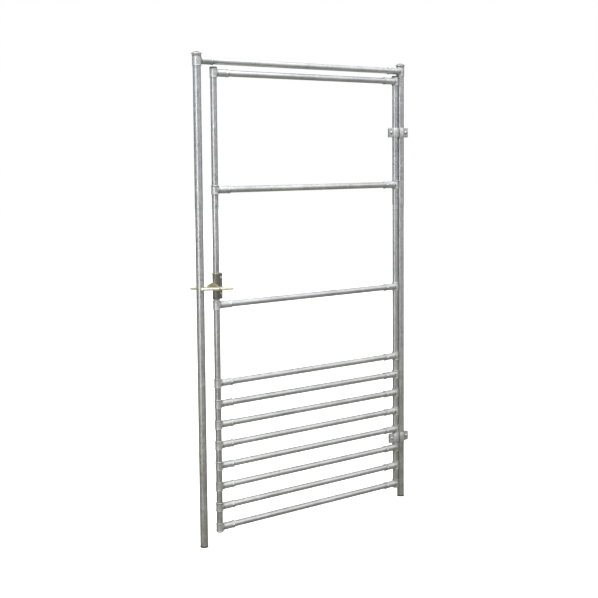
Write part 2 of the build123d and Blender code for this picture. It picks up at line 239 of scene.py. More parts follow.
# ---------------------------------------------------------------- materials
class Finish:
    """A node material on Object coordinates, built up a layer at a time."""

    def __init__(self, name):
        self.material = bpy.data.materials.new(name)
        self.material.use_nodes = True
        self.tree = self.material.node_tree
        self.shader = self.tree.nodes["Principled BSDF"]
        self.place = self.tree.nodes.new("ShaderNodeTexCoord").outputs["Object"]

    def link(self, source, target):
        self.tree.links.new(source, target)

    def set(self, **sockets):
        for socket, value in sockets.items():
            self.shader.inputs[socket.replace("_", " ")].default_value = value

    def stretch(self, scale):
        mapping = self.tree.nodes.new("ShaderNodeMapping")
        mapping.inputs["Scale"].default_value = scale
        self.link(self.place, mapping.inputs["Vector"])
        return mapping.outputs["Vector"]

    def noise(self, scale, detail=4.0, roughness=0.55, stretch=(1, 1, 1)):
        texture = self.tree.nodes.new("ShaderNodeTexNoise")
        texture.inputs["Scale"].default_value = scale
        texture.inputs["Detail"].default_value = detail
        texture.inputs["Roughness"].default_value = roughness
        self.link(self.stretch(stretch), texture.inputs["Vector"])
        return texture.outputs["Fac"]

    def cells(self, scale):
        """One random grey per crystal."""
        texture = self.tree.nodes.new("ShaderNodeTexVoronoi")
        texture.inputs["Scale"].default_value = scale
        self.link(self.stretch((1, 1, 1)), texture.inputs["Vector"])
        grey = self.tree.nodes.new("ShaderNodeSeparateColor")
        self.link(texture.outputs["Color"], grey.inputs["Color"])
        return grey.outputs["Red"]

    def along(self, axis):
        split = self.tree.nodes.new("ShaderNodeSeparateXYZ")
        self.link(self.place, split.inputs["Vector"])
        return split.outputs[axis]

    def height(self):
        return self.along("Z")

    def zone(self, base, axis, start, end, colour):
        """The base turned to another colour past a place along one axis."""
        return self.blend(self.remap(self.along(axis), start, end, 0.0, 1.0), base, colour)

    def shade_line_mask(self, lines):
        """Painted shade: 1 on lines across X, each (place, half width, depth), falling to 0 at their edges.
        """
        total = None
        for at, width, depth in lines:
            offset = self.tree.nodes.new("ShaderNodeMath")
            offset.operation = "SUBTRACT"
            offset.inputs[1].default_value = at
            self.link(self.along("X"), offset.inputs[0])
            reach = self.tree.nodes.new("ShaderNodeMath")
            reach.operation = "ABSOLUTE"
            self.link(offset.outputs["Value"], reach.inputs[0])
            line = self.remap(reach.outputs["Value"], 0.0, width, depth, 0.0)
            total = line if total is None else self.sum(total, line)
        return total

    def attribute(self, name):
        node = self.tree.nodes.new("ShaderNodeAttribute")
        node.attribute_name = name
        return node.outputs["Fac"]

    def remap(self, value, low, high, out_low=0.0, out_high=1.0):
        node = self.tree.nodes.new("ShaderNodeMapRange")
        node.inputs["From Min"].default_value = low
        node.inputs["From Max"].default_value = high
        node.inputs["To Min"].default_value = out_low
        node.inputs["To Max"].default_value = out_high
        self.link(value, node.inputs["Value"])
        return node.outputs["Result"]

    def sum(self, *values):
        total = values[0]
        for value in values[1:]:
            node = self.tree.nodes.new("ShaderNodeMath")
            node.operation = "ADD"
            self.link(total, node.inputs[0])
            self.link(value, node.inputs[1])
            total = node.outputs["Value"]
        return total

    def product(self, first, second):
        node = self.tree.nodes.new("ShaderNodeMath")
        node.operation = "MULTIPLY"
        self.link(first, node.inputs[0])
        self.link(second, node.inputs[1])
        return node.outputs["Value"]

    def ramp(self, value, stops):
        node = self.tree.nodes.new("ShaderNodeValToRGB")
        elements = node.color_ramp.elements
        while len(elements) < len(stops):
            elements.new(0.5)
        for element, (position, colour) in zip(elements, stops):
            element.position = position
            element.color = (*colour, 1)
        self.link(value, node.inputs["Fac"])
        return node.outputs["Color"]

    def blend(self, amount, under, over):
        """Lays the colour `over` on the layer `under` by the given amount."""
        node = self.tree.nodes.new("ShaderNodeMix")
        node.data_type = "RGBA"
        self.link(amount, node.inputs["Factor"])
        self.link(under, node.inputs[6])
        if isinstance(over, tuple):
            node.inputs[7].default_value = (*over, 1)
        else:
            self.link(over, node.inputs[7])
        return node.outputs[2]

    def bump(self, height, strength, distance):
        node = self.tree.nodes.new("ShaderNodeBump")
        node.inputs["Strength"].default_value = strength
        node.inputs["Distance"].default_value = distance
        self.link(height, node.inputs["Height"])
        self.link(node.outputs["Normal"], self.shader.inputs["Normal"])

    def colour(self, layer):
        self.link(layer, self.shader.inputs["Base Color"])

    def roughness(self, layer):
        self.link(layer, self.shader.inputs["Roughness"])


EARTH = (0.37, 0.36, 0.25)
# dark olive for the dirt and painted shade in the tees' crevices
GRIME_AND_CREVICE_SHADE = (0.115, 0.098, 0.06)
SHADE = (0.05, 0.05, 0.048)
# dark grey painted on the cap's dome as its reflection
DOME_PAINTED_REFLECTION = (0.16, 0.163, 0.17)
WHITE_RUST = (0.62, 0.63, 0.62)
ZONE_EDGE = 0.8 * MM


def galvanised(
    name, tones, along, rough=(0.3, 0.44), spangle=95,
    grime_and_crevice_shade=False, dust=0.3, hollow=None, zones=(), matte_above=None,
):
    """Hot-dip zinc: crystal spangle, cloudy grey patches, runs along the piece, and yard dust low down.

    `hollow` is a list of painted shade lines across X, `zones` are (axis, start, end, colour) and
    `matte_above` is the height above which the zinc is matte and not metallic.
    """
    finish = Finish(name)
    finish.set(Metallic=0.86)
    run = tuple(0.12 if axis == along else 1.0 for axis in "XYZ")
    crystals = finish.cells(spangle)
    clouds = finish.noise(5.5, 5)
    runs = finish.noise(42, 3, stretch=run)
    tone = finish.sum(
        finish.remap(crystals, 0, 1, 0.0, 0.24),
        finish.remap(clouds, 0.3, 0.7, 0.08, 0.5),
        finish.remap(runs, 0.3, 0.7, 0.0, 0.26),
    )
    base = finish.ramp(tone, [(0.1, tones[0]), (0.5, tones[1]), (0.95, tones[2])])
    bloom = finish.remap(finish.noise(16, 6, 0.65), 0.58, 0.74, 0.0, 0.4)
    base = finish.blend(bloom, base, WHITE_RUST)
    dust_patch = finish.remap(finish.noise(9, 6, 0.6), 0.32, 0.72, 0.25, 1.0)
    low_down = finish.remap(finish.height(), 1.25, 0.1, 0.0, dust)
    base = finish.blend(finish.product(dust_patch, low_down), base, EARTH)
    # dirt and painted shade: the tee's crook and the rings behind its beads are darkened, patchily
    if grime_and_crevice_shade:
        patchy = finish.remap(finish.noise(140, 3), 0.3, 0.7, 0.45, 1.0)
        worn = finish.product(finish.attribute("grime_and_crevice_shade"), patchy)
        base = finish.blend(finish.remap(worn, 0, 1, 0.0, 0.8), base, GRIME_AND_CREVICE_SHADE)
    # painted shade: dark lines laid over the zinc
    if hollow:
        base = finish.blend(finish.shade_line_mask(hollow), base, SHADE)
    for zone in zones:
        base = finish.zone(base, *zone)
    finish.colour(base)
    finish.roughness(
        finish.sum(
            finish.remap(crystals, 0, 1, rough[0], rough[1]),
            finish.remap(finish.noise(60, 4), 0.3, 0.7, -0.04, 0.08),
        )
    )
    lumps = finish.remap(finish.noise(55, 3), 0, 1, 0, 0.5)
    grain = finish.remap(finish.noise(420, 2), 0, 1, 0, 0.12)
    finish.bump(finish.sum(lumps, grain), 0.16, 0.0005)
    # above this height the zinc is matte and not metallic, under the cap dome's painted reflection
    if matte_above:
        above = finish.remap(finish.height(), matte_above, matte_above + ZONE_EDGE, 0.0, 1.0)
        finish.link(finish.remap(above, 0.0, 1.0, 0.9, 0.0), finish.shader.inputs["Metallic"])
        finish.link(finish.remap(above, 0.0, 1.0, 0.5, 0.08), finish.shader.inputs["Specular IOR Level"])
    return finish.material


# painted light: the uprights take the darker ZINC and the rails the paler ZINC_PALE, a shaded and a lit
# copy of one zinc
ZINC = ((0.36, 0.37, 0.385), (0.53, 0.54, 0.555), (0.7, 0.71, 0.725))
ZINC_PALE = ((0.46, 0.47, 0.48), (0.64, 0.65, 0.66), (0.78, 0.79, 0.8))
post_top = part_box("post_cap_latch")[1][2] - CAP_H
rim_top = post_top + CAP_RIM_H
upright_zinc_shaded = galvanised(
    # painted shade: from 4.5 mm below the cap's foot upwards the posts turn near-black, for the gap under
    # the cap
    "upright_zinc_shaded", ZINC, "Z", dust=0.6, zones=(("Z", post_top - 4.5 * MM, post_top - 3.5 * MM, SHADE),)
)
# painted light: the rails are made paler than the uprights for the light from above
rail_zinc_lit = galvanised("rail_zinc_lit", ZINC_PALE, "X", dust=0.2)
# the tees carry dirt and painted shade in their crook and behind their beads
tee_zinc = galvanised("tee_zinc", ZINC_PALE, "Z", rough=(0.36, 0.5), spangle=160, grime_and_crevice_shade=True)
# painted reflection: above the rim the cap's dome is dark grey and matte, in place of the dark room it
# reflects
cap_zinc = galvanised(
    "cap_zinc", ZINC_PALE, "Z", rough=(0.4, 0.52), spangle=120,
    zones=(("Z", rim_top, rim_top + ZONE_EDGE, DOME_PAINTED_REFLECTION),), matte_above=rim_top,
)
stile_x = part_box("hinge_stile")[0][0] + DOOR_R
valley_x = stile_x + 18.23 * MM
stile_ear_x = stile_x - 17.5 * MM
post_ear_x = 21.0 * MM
# painted shade: a dark line down the valley between the clamp's loops, and fainter ones where each ear
# meets its loop
clamp_shade_lines = ((valley_x, 4.2 * MM, 0.85), (stile_ear_x, 2.4 * MM, 0.5), (post_ear_x, 2.4 * MM, 0.5))
plate_zinc = galvanised("plate_zinc", ZINC_PALE, "Z", rough=(0.42, 0.56), spangle=220, hollow=clamp_shade_lines)


def plated(name, tones, rough, stain=None, metallic=0.92, zones=()):
    """Thin electroplate: even, brighter than the dipped zinc, with faint cloudy stains."""
    finish = Finish(name)
    finish.set(Metallic=metallic)
    clouds = finish.remap(finish.noise(38, 5), 0.3, 0.7, 0.0, 0.6)
    specks = finish.remap(finish.noise(260, 3), 0.3, 0.7, 0.0, 0.3)
    tone = finish.sum(clouds, specks)
    base = finish.ramp(tone, [(0.05, tones[0]), (0.5, tones[1]), (0.9, tones[2])])
    if stain:
        base = finish.blend(finish.remap(finish.noise(70, 6, 0.65), 0.52, 0.7, 0.0, 0.6), base, stain)
    for zone in zones:
        base = finish.zone(base, *zone)
    finish.colour(base)
    finish.roughness(finish.remap(finish.noise(90, 4), 0.3, 0.7, rough[0], rough[1]))
    finish.bump(finish.noise(320, 3), 0.18, 0.0003)
    return finish.material


BRIGHT = ((0.5, 0.5, 0.5), (0.68, 0.68, 0.67), (0.82, 0.82, 0.81))
PALE_YELLOW = ((0.7, 0.69, 0.5), (0.88, 0.87, 0.73), (0.95, 0.95, 0.88))
BROWN_GREY = ((0.22, 0.205, 0.19), (0.36, 0.34, 0.32), (0.5, 0.48, 0.46))
YELLOW = (0.56, 0.55, 0.38)
bright_zinc = plated("bright_zinc", BRIGHT, (0.22, 0.36))
bar_zinc = plated("bar_zinc", PALE_YELLOW, (0.34, 0.5), stain=(0.62, 0.58, 0.36), metallic=0.75)

strap_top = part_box("latch_clamp")[1][2]
latch_stile_x = centre_of("latch_stile")[0]
rolled_rim = ("Z", strap_top - 5.6 * MM, strap_top - 5.0 * MM, YELLOW)
guide_plate = ("X", latch_stile_x - 16.4 * MM, latch_stile_x - 17.2 * MM, YELLOW)
strap_zinc = plated(
    "strap_zinc", BROWN_GREY, (0.4, 0.55), stain=(0.27, 0.2, 0.14), zones=(rolled_rim, guide_plate)
)


def moulded_black():
    finish = Finish("moulded_black")
    finish.set(Specular_IOR_Level=0.4)
    scuff = finish.remap(finish.noise(120, 6, 0.7), 0.5, 0.75, 0.0, 1.0)
    base = finish.ramp(finish.noise(30, 4), [(0.3, (0.012, 0.012, 0.014)), (0.7, (0.026, 0.026, 0.03))])
    finish.colour(finish.blend(finish.remap(scuff, 0, 1, 0, 0.35), base, (0.09, 0.09, 0.088)))
    finish.roughness(finish.remap(scuff, 0, 1, 0.42, 0.7))
    finish.bump(finish.noise(700, 2), 0.25, 0.0002)
    return finish.material


black_plastic = moulded_black()


# ---------------------------------------------------------------- tubes
def tube(name, node, along, radius, wall, material, lip=0.5 * MM):
    """A round tube with its wall, and its cut ends eased."""
    low, high = [Vector(corner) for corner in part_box(node)]
    middle = (low + high) / 2
    length = high["XYZ".index(along)] - low["XYZ".index(along)]
    turn = (0, math.pi / 2, 0) if along == "X" else (0, 0, 0)
    deselect()
    bpy.ops.mesh.primitive_cylinder_add(
        vertices=TUBE_SIDES, radius=radius, depth=length - 2 * lip, end_fill_type="NOTHING",
        location=middle, rotation=turn,
    )
    piece = named(name)
    bpy.ops.object.transform_apply(location=True, rotation=True, scale=True)
    edit(piece)
    for end in (-1, 1):
        step = Vector([end * lip if axis == along else 0 for axis in "XYZ"])
        edge_at = middle["XYZ".index(along)] + end * (length / 2 - lip)
        pick(piece, "VERT", lambda co: abs(co["XYZ".index(along)] - edge_at) < 1e-5)
        bpy.ops.mesh.extrude_region_move(TRANSFORM_OT_translate={"value": step})
        squeeze = (radius - lip) / radius
        scale = [1 if axis == along else squeeze for axis in "XYZ"]
        bpy.ops.transform.resize(value=scale, center_override=middle)
    tidy_mesh()
    leave_edit()
    apply_modifier(piece, "SOLIDIFY", thickness=wall, offset=-1)
    smooth(piece)
    stand_for(piece, node, material)


for post in ("latch_post", "hinge_post"):
    tube(f"{post}_tube", post, "Z", POST_R, POST_WALL, upright_zinc_shaded)
for stile in ("latch_stile", "hinge_stile"):
    tube(f"{stile}_tube", stile, "Z", DOOR_R, DOOR_WALL, upright_zinc_shaded)
for rail in ["frame_top_rail"] + sorted(node for node in nodes if node.startswith("door_rail_")):
    tube(f"{rail}_tube", rail, "X", DOOR_R, DOOR_WALL, rail_zinc_lit)


# ---------------------------------------------------------------- tee fittings
SLEEVE_SIDES = 8
BRANCH_SIDES = 12
BEAD_ROOM = 3.2 * MM
# millimetres from the mouth, and share of the bead's rise
BEAD_RINGS = ((3.2, 0.0), (2.5, 1.0), (1.0, 1.0), (0.35, 0.35), (0.0, 0.0))
DOOR_SLEEVE_H = 38 * MM
DOOR_REACH = 78 * MM
FRAME_SLEEVE_H = 44 * MM
FRAME_REACH = 84 * MM
BEAD_EDGE = 1.1 * MM             # how far the finished bead stands proud of its sleeve
ROOT_STEP = 2 * MM               # straight start of the branch, off the saddle curve
NECK = 4 * MM                    # sleeve to where the branch runs true
BRANCH_PLAIN = 22 * MM           # the branch's last plain ring to its mouth


def cage_r(radius, sides):
    """The cage radius whose subdivided round comes out at `radius`."""
    return radius / (2 / 3 + math.cos(2 * math.pi / sides) / 3)


def grow_rings(axis, start, start_r, rings, centre=(0, 0, 0)):
    """Extrudes the selected ring along an axis through (place, radius) rings."""
    axis = Vector(axis)
    for at, radius in rings:
        bpy.ops.mesh.extrude_region_move(TRANSFORM_OT_translate={"value": axis * (at - start)})
        squeeze = radius / start_r
        scale = [1 if abs(part) > 0.5 else squeeze for part in axis]
        bpy.ops.transform.resize(value=scale, center_override=Vector(centre) + axis * at)
        start, start_r = at, radius


def bead_rings(mouth, ring_r, beyond):
    """Rings of a rolled bead at a mouth, leaving out what lies before `beyond`."""
    return [
        (mouth - inset * MM, ring_r + rise * BEAD_RISE)
        for inset, rise in BEAD_RINGS
        if mouth - inset * MM > beyond + 0.1 * MM
    ]


def root_branch(piece, sleeve_ring_r, branch_ring_r):
    """Moves the selected ring onto the saddle curve where a round branch along X leaves the sleeve."""
    mesh = bmesh.from_edit_mesh(piece.data)
    picked = [vert for vert in mesh.verts if vert.select]
    columns = sorted({round(math.atan2(vert.co.y, vert.co.x), 3) for vert in picked})
    for vert in picked:
        column = columns.index(round(math.atan2(vert.co.y, vert.co.x), 3))
        if abs(vert.co.z) < 1e-6:
            turn = 0.0 if vert.co.y > 0 else math.pi
        else:
            turn = math.copysign(math.pi - math.pi * (column + 1) / (len(columns) + 1), vert.co.z)
        y = branch_ring_r * math.cos(turn)
        vert.co = (math.sqrt(sleeve_ring_r ** 2 - y ** 2), y, branch_ring_r * math.sin(turn))
    bmesh.update_edit_mesh(piece.data)


def level_ring(piece, at):
    """Moves the selected ring along X to x = at."""
    mesh = bmesh.from_edit_mesh(piece.data)
    for vert in mesh.verts:
        if vert.select:
            vert.co.x = at
    bmesh.update_edit_mesh(piece.data)


def tee_master(name, sleeve_r, sleeve_h, reach):
    """A pressed tee about the origin: sleeve along Z, branch along +X, beads rolled at all three mouths."""
    ring_r = cage_r(sleeve_r, SLEEVE_SIDES)
    branch_ring_r = cage_r(BRANCH_R, BRANCH_SIDES)
    half = sleeve_h / 2
    shoulder = min(branch_ring_r, half - BEAD_ROOM)
    deselect()
    bpy.ops.mesh.primitive_cylinder_add(
        vertices=SLEEVE_SIDES, radius=ring_r, depth=2 * shoulder, end_fill_type="NOTHING",
        location=(0, 0, 0),
    )
    piece = named(name)
    edit(piece)
    bpy.ops.mesh.select_all(action="SELECT")
    bpy.ops.mesh.bisect(plane_co=(0, 0, 0), plane_no=(0, 0, 1))
    for end in (-1, 1):
        pick(piece, "VERT", lambda co: abs(co.z - end * shoulder) < 1e-6)
        grow_rings((0, 0, end), shoulder, ring_r, bead_rings(half, ring_r, shoulder))
    pick(piece, "FACE", lambda co: co.x > 0.1 * MM and abs(co.z) < shoulder)
    bpy.ops.mesh.delete(type="FACE")
    pick(piece, "VERT", lambda co: co.x > -1e-6 and abs(co.z) < shoulder + 1e-6)
    bpy.ops.mesh.extrude_region_move(TRANSFORM_OT_translate={"value": (0, 0, 0)})
    root_branch(piece, ring_r, branch_ring_r)
    bpy.ops.mesh.extrude_region_move(TRANSFORM_OT_translate={"value": (ROOT_STEP, 0, 0)})
    bpy.ops.mesh.extrude_region_move(TRANSFORM_OT_translate={"value": (0, 0, 0)})
    neck = ring_r + NECK
    level_ring(piece, neck)
    plain = [(neck + 6 * MM, branch_ring_r), (reach - BRANCH_PLAIN, branch_ring_r)]
    grow_rings((1, 0, 0), neck, branch_ring_r, plain + bead_rings(reach, branch_ring_r, 0))
    tidy_mesh()
    leave_edit()
    apply_modifier(piece, "SUBSURF", levels=2, render_levels=2)
    paint_grime_and_crevice_shade(piece, sleeve_r, half, reach)
    apply_modifier(piece, "SOLIDIFY", thickness=TEE_WALL, offset=-1)
    smooth(piece, 60)
    return piece


def near(distance, width):
    """1 at a line, falling to 0 a width away from it."""
    return max(0.0, 1.0 - abs(distance) / width)


def paint_grime_and_crevice_shade(piece, sleeve_r, half, reach):
    """Dirt and painted shade for the crook of the tee and the rings behind each bead, kept with the mesh.
    """
    grime_and_crevice_shade = piece.data.attributes.new("grime_and_crevice_shade", "FLOAT", "POINT")
    for vert in piece.data.vertices:
        x, y, z = vert.co
        crook = near(x - sleeve_r * 0.9, 5 * MM) if math.hypot(y, z) > 0.9 * BRANCH_R else 0.0
        sleeve_bead = near(abs(z) - half + 3.8 * MM, 1.6 * MM) if abs(x) < sleeve_r * 1.15 else 0.0
        mouth_bead = near(x - reach + 4.2 * MM, 2 * MM)
        grime_and_crevice_shade.data[vert.index].value = max(crook, sleeve_bead, mouth_bead)


def dress_tees():
    """One master for the door's tees and one for the frame's, copied to each end of every rail."""
    door_sleeve_r = DOOR_R + TEE_FIT + TEE_WALL
    frame_sleeve_r = POST_R + TEE_FIT + TEE_WALL
    masters = {
        "door": (tee_master("door_tee", door_sleeve_r, DOOR_SLEEVE_H, DOOR_REACH), door_sleeve_r),
        "frame": (tee_master("frame_tee", frame_sleeve_r, FRAME_SLEEVE_H, FRAME_REACH), frame_sleeve_r),
    }
    for node in sorted(nodes):
        if "_tee_" not in node or node.endswith("screws"):
            continue
        master, sleeve_r = masters[node.split("_")[0]]
        bead_r = sleeve_r + BEAD_EDGE
        low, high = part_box(node)
        facing = 1 if "_latch" in node else -1
        axis_x = low[0] + bead_r if facing > 0 else high[0] - bead_r
        place = Matrix.Translation((axis_x, 0, (low[2] + high[2]) / 2)) @ Matrix.Scale(facing, 4, (1, 0, 0))
        piece = placed_copy(master, f"{node}_casting", place)
        if facing < 0:
            edit(piece)
            bpy.ops.mesh.select_all(action="SELECT")
            bpy.ops.mesh.flip_normals()
            leave_edit()
        stand_for(piece, node, tee_zinc)
    for master, _ in masters.values():
        discard(master)


dress_tees()


# ---------------------------------------------------------------- screws, bolts and nuts
def screw_master():
    """A washer-faced pan-head screw about the origin, its head towards -Y, with a driver recess."""
    outline = [(0.0, -2.0 * MM), (2.3 * MM, -2.0 * MM), (2.3 * MM, 0.0)]
    outline += [(4.6 * MM, 0.0), (4.6 * MM, 0.6 * MM)]
    outline += [(4.2 * MM, 0.8 * MM), (3.9 * MM, 1.2 * MM), (3.5 * MM, 2.0 * MM), (2.7 * MM, 2.65 * MM)]
    outline += [(2.0 * MM, 2.9 * MM), (1.6 * MM, 2.85 * MM), (1.2 * MM, 1.6 * MM), (0.0, 1.4 * MM)]
    piece = lathe("screw", outline, (0, 0, 0), up=(0, -1, 0), steps=24)
    smooth(piece, 40)
    return piece


def dress_screws(node, tees):
    """The screw on the front of each of these tees' branches."""
    master = screw_master()
    screws = []
    for tee in tees:
        low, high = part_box(tee)
        x = high[0] - SCREW_FROM_MOUTH if "_latch" in tee else low[0] + SCREW_FROM_MOUTH
        place = Matrix.Translation((x, -BRANCH_R, (low[2] + high[2]) / 2))
        screws.append(placed_copy(master, "screw_set", place))
    discard(master)
    stand_for(joined(screws, f"{node}_set"), node, bright_zinc)


def dress_bolts(node, places, half_grip, head_r, head_h, shank_r, tail):
    """Round-headed bolts at each (x, z), heads in front, with a rolled thread past the nut."""
    rim = 0.25 * head_h
    round_r = (head_r ** 2 + (head_h - rim) ** 2) / (2 * (head_h - rim))
    edge = math.degrees(math.acos(head_r / round_r))
    outline = arc((0, head_h - round_r), round_r, 90, edge, 8)
    outline += [(head_r - 0.1 * MM, rim * 0.5), (head_r - 0.4 * MM, 0.0), (shank_r, 0.0)]
    pitch = 1.25 * MM
    run = -2 * half_grip - tail
    at = run + 8 * pitch
    outline.append((shank_r, at))
    while at > run + pitch:
        outline += [(shank_r * 0.9, at - pitch / 2), (shank_r, at - pitch)]
        at -= pitch
    outline += [(shank_r * 0.85, run), (0.0, run)]
    master = lathe("bolt", outline, (0, -half_grip, 0), up=(0, -1, 0), steps=32)
    smooth(master, 40)
    bolts = [placed_copy(master, "bolt_copy", Matrix.Translation((x, 0, z))) for x, z in places]
    discard(master)
    stand_for(joined(bolts, f"{node}_set"), node, bright_zinc)


def dress_nuts(node, places, half_grip, flats, height):
    """Hexagon nuts with worn corners at each (x, z), on the back."""
    deselect()
    bpy.ops.mesh.primitive_cylinder_add(
        vertices=6, radius=flats / math.sqrt(3), depth=height, end_fill_type="NGON",
        location=(0, half_grip + height / 2, 0), rotation=(math.pi / 2, 0, 0),
    )
    master = named("nut")
    bpy.ops.object.transform_apply(location=True, rotation=True, scale=True)
    edit(master)
    pick(master, "FACE", lambda co: abs(abs(co.y - half_grip - height / 2) - height / 2) < 1e-6)
    bpy.ops.mesh.inset(thickness=0.09 * flats, depth=0)
    leave_edit()
    apply_modifier(
        master, "BEVEL", width=0.6 * MM, segments=3, limit_method="ANGLE", angle_limit=math.radians(40)
    )
    smooth(master, 30)
    nuts = [placed_copy(master, "nut_copy", Matrix.Translation((x, 0, z))) for x, z in places]
    discard(master)
    stand_for(joined(nuts, f"{node}_set"), node, bright_zinc)


door_tees = [node for node in sorted(nodes) if node.startswith("door_tee_") and node[-1].isdigit()]
dress_screws("door_tee_screws", door_tees)
dress_screws("frame_tee_screws", ["frame_tee_latch", "frame_tee_hinge"])


CLAMP_BOLT = {"head_r": 8.6 * MM, "head_h": 4.6 * MM, "shank_r": 4.0 * MM, "tail": 10.5 * MM}
STRAP_BOLT = {"head_r": 5.8 * MM, "head_h": 3.6 * MM, "shank_r": 3.0 * MM, "tail": 9.0 * MM}
CLAMP_HALF_GRIP = 5.5 * MM
STRAP_HALF_GRIP = 4.2 * MM

clamp_low, clamp_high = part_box("hinge_clamp_bolts")
clamp_xs = (clamp_low[0] + CLAMP_BOLT["head_r"], clamp_high[0] - CLAMP_BOLT["head_r"])
clamp_zs = [centre_of(f"hinge_clamp_{level}_front")[2] for level in ("lower", "upper")]
clamp_places = [(x, z) for x in clamp_xs for z in clamp_zs]
dress_bolts("hinge_clamp_bolts", clamp_places, CLAMP_HALF_GRIP, **CLAMP_BOLT)
dress_nuts("hinge_clamp_nuts", clamp_places, CLAMP_HALF_GRIP, 13 * MM, 6.5 * MM)

strap_low, strap_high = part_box("latch_clamp_bolts")
strap_x = (strap_low[0] + strap_high[0]) / 2
strap_zs = (strap_low[2] + STRAP_BOLT["head_r"], strap_high[2] - STRAP_BOLT["head_r"])
strap_places = [(strap_x, z) for z in strap_zs]
dress_bolts("latch_clamp_bolts", strap_places, STRAP_HALF_GRIP, **STRAP_BOLT)
dress_nuts("latch_clamp_nuts", strap_places, STRAP_HALF_GRIP, 10 * MM, 5 * MM)


# ---------------------------------------------------------------- caps and plugs
def post_cap(node):
    """A pressed cap: upright rim, shallow dome, and the spigot that holds it in the post."""
    low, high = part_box(node)
    rim_r = (high[0] - low[0]) / 2
    dome_r = rim_r - 1.4 * MM
    dome_foot = CAP_RIM_H + 0.5 * MM
    rise = CAP_H - dome_foot
    round_r = (dome_r ** 2 + rise ** 2) / (2 * rise)
    edge = math.degrees(math.acos(dome_r / round_r))
    spigot_r = POST_R - POST_WALL - 0.1 * MM
    outline = arc((0, CAP_H - round_r), round_r, 90, edge, 12)
    outline += arc((rim_r - 1.2 * MM, CAP_RIM_H - 0.7 * MM), 1.2 * MM, 80, 0, 6)
    outline += arc((rim_r - 0.6 * MM, 0.6 * MM), 0.6 * MM, 0, -80, 4)
    outline += [(rim_r - 1.6 * MM, 0.2 * MM), (rim_r - 2.0 * MM, 0.9 * MM)]
    outline += [(POST_R + 0.6 * MM, 0.9 * MM)]
    outline += [(POST_R + 0.2 * MM, 0.0), (spigot_r, 0.0)]
    outline += [(spigot_r, -24 * MM), (spigot_r - 0.8 * MM, -26 * MM), (spigot_r - 2.2 * MM, -26 * MM)]
    outline += [(spigot_r - 2.2 * MM, 1 * MM), (0.0, CAP_H - 2.4 * MM)]
    piece = lathe(f"{node}_pressing", outline, ((low[0] + high[0]) / 2, 0, high[2] - CAP_H), steps=64)
    smooth(piece, 28)
    stand_for(piece, node, cap_zinc)


def tube_plug(name, x, z_face, z_tip, up, flange_r, flange_h, rounding, bore_r):
    """A moulded plug: its flange beyond z_face, its hollow spigot down the tube to z_tip."""
    spigot_r = bore_r - 0.1 * MM
    depth = abs(z_tip - z_face)
    ease = 0.35 * MM
    outline = [(0.0, flange_h)]
    outline += arc((flange_r - rounding, flange_h - rounding), rounding, 90, 0, 6)
    outline += [(flange_r, ease), (flange_r - ease, 0.0), (spigot_r, 0.0), (spigot_r, -depth + 2 * MM)]
    outline += [(spigot_r - 0.6 * MM, -depth), (spigot_r - 2 * MM, -depth), (spigot_r - 2 * MM, -1 * MM)]
    outline += [(0.0, -1 * MM)]
    piece = lathe(name, outline, (x, 0, z_face), up=(0, 0, up))
    smooth(piece, 40)
    return piece


def dress_plug(node, up, flange_h, rounding, bore_r):
    low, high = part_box(node)
    face = high[2] - flange_h if up > 0 else low[2] + flange_h
    tip = low[2] if up > 0 else high[2]
    flange_r = (high[0] - low[0]) / 2
    x = centre_of(node)[0]
    piece = tube_plug(f"{node}_moulding", x, face, tip, up, flange_r, flange_h, rounding, bore_r)
    stand_for(piece, node, black_plastic)


DOOR_BORE_R = DOOR_R - DOOR_WALL
for side in ("latch", "hinge"):
    post_cap(f"post_cap_{side}")
    dress_plug(f"foot_plug_{side}", -1, PLUG_FLANGE_H, 1.2 * MM, POST_R - POST_WALL)
    dress_plug(f"stile_plug_{side}", 1, PLUG_FLANGE_H, 2.5 * MM, DOOR_BORE_R)
sole_low, sole_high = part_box("stile_sole_plugs")
sole_face = sole_low[2] + SOLE_FLANGE_H
soles = [
    tube_plug("sole", x, sole_face, sole_high[2], -1, DOOR_R, SOLE_FLANGE_H, 1 * MM, DOOR_BORE_R)
    for x in (sole_low[0] + DOOR_R, sole_high[0] - DOOR_R)
]
stand_for(joined(soles, "stile_sole_plugs_moulding"), "stile_sole_plugs", black_plastic)


# ---------------------------------------------------------------- hinge clamps and latch
for level in ("lower", "upper"):
    for side in ("front", "back"):
        plate = f"hinge_clamp_{level}_{side}"
        softened(plate, f"{plate}_pressing", 0.7 * MM, plate_zinc)
softened("latch_clamp", "latch_clamp_strap", 0.45 * MM, strap_zinc)


